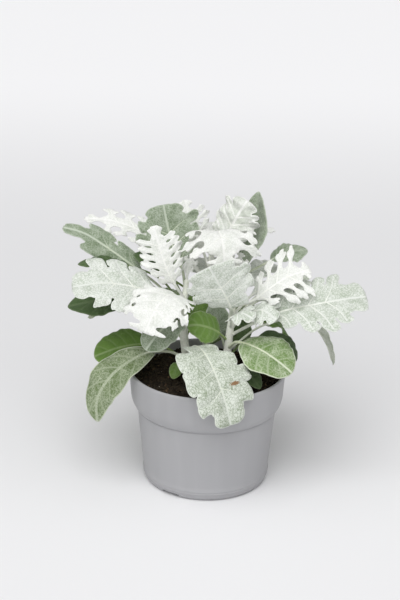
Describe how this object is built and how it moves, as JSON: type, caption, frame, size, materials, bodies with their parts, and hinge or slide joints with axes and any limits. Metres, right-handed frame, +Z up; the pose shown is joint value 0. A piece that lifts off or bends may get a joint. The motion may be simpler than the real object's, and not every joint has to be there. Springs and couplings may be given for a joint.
{
  "type": "potted dusty miller plant",
  "caption": "Bedding plant in its pot: silvery felted leaves, some broad and lobed and some deeply cut, on short stems in potting soil in a round tapered grey nursery pot with a collar.",
  "frame": {"origin": "centre of the flat middle of the pot's base, on the surface it stands on", "axes": "+Z up along the pot's axis, -Y towards the side the picture shows, +X to the right in the picture"},
  "size_m": [0.2305, 0.1821, 0.215],
  "materials": {
    "pot_plastic": "satin grey thermoformed plastic",
    "potting_soil": "moist crumbly peat with a few pale grains",
    "stem_felt": "pale felted stem",
    "leaf_green": "matt green leaf with a thin web of pale hairs",
    "leaf_dark": "matt dark green leaf",
    "leaf_grey": "grey-green felted leaf",
    "leaf_silver": "silver felted leaf",
    "leaf_white": "white felted leaf"
  },
  "bodies": {
    "root": {"pot": "pot_plastic", "soil": "potting_soil", "stem_left": "stem_felt", "stem_right": "stem_felt", "stem_back": "stem_felt", "front_leaf": "leaf_grey", "right_front_leaf": "leaf_green", "left_front_leaf": "leaf_grey", "left_leaf": "leaf_green", "rim_leaf": "leaf_dark", "right_low_leaf": "leaf_dark", "soil_leaf": "leaf_green", "left_inner_leaf": "leaf_grey", "middle_leaf": "leaf_green", "middle_upright_leaf": "leaf_grey", "right_drooping_leaf": "leaf_grey", "right_folded_leaf": "leaf_green", "middle_dim_leaf": "leaf_green", "middle_hidden_leaf": "leaf_dark", "right_wide_leaf": "leaf_silver", "left_wide_leaf": "leaf_silver", "left_shaded_leaf": "leaf_dark", "left_white_leaf": "leaf_white", "middle_fan_leaf": "leaf_silver", "right_white_leaf": "leaf_white", "right_curled_leaf": "leaf_silver", "right_small_leaf": "leaf_silver", "left_upright_leaf": "leaf_white", "tall_grey_leaf": "leaf_grey", "top_white_leaf": "leaf_white", "top_cut_leaf": "leaf_silver", "tall_smooth_leaf": "leaf_grey", "left_back_leaf": "leaf_grey", "left_faint_leaf": "leaf_white", "left_tip_leaf": "leaf_dark", "left_dim_leaf": "leaf_green", "left_short_leaf": "leaf_dark", "back_pale_leaf": "leaf_white", "right_back_leaf": "leaf_green", "right_short_leaf": "leaf_grey", "back_right_low_leaf": "leaf_green", "back_low_leaf": "leaf_grey", "back_left_low_leaf": "leaf_green", "side_right_low_leaf": "leaf_grey", "side_left_low_leaf": "leaf_green", "back_right_cut_leaf": "leaf_white", "back_left_cut_leaf": "leaf_white", "back_right_grey_leaf": "leaf_silver", "back_middle_leaf": "leaf_silver", "side_right_leaf": "leaf_silver", "side_left_leaf": "leaf_silver", "back_upper_leaf": "leaf_white", "young_right_leaf": "leaf_white", "young_left_leaf": "leaf_white", "young_back_leaf": "leaf_white"}
  },
  "joints": []
}
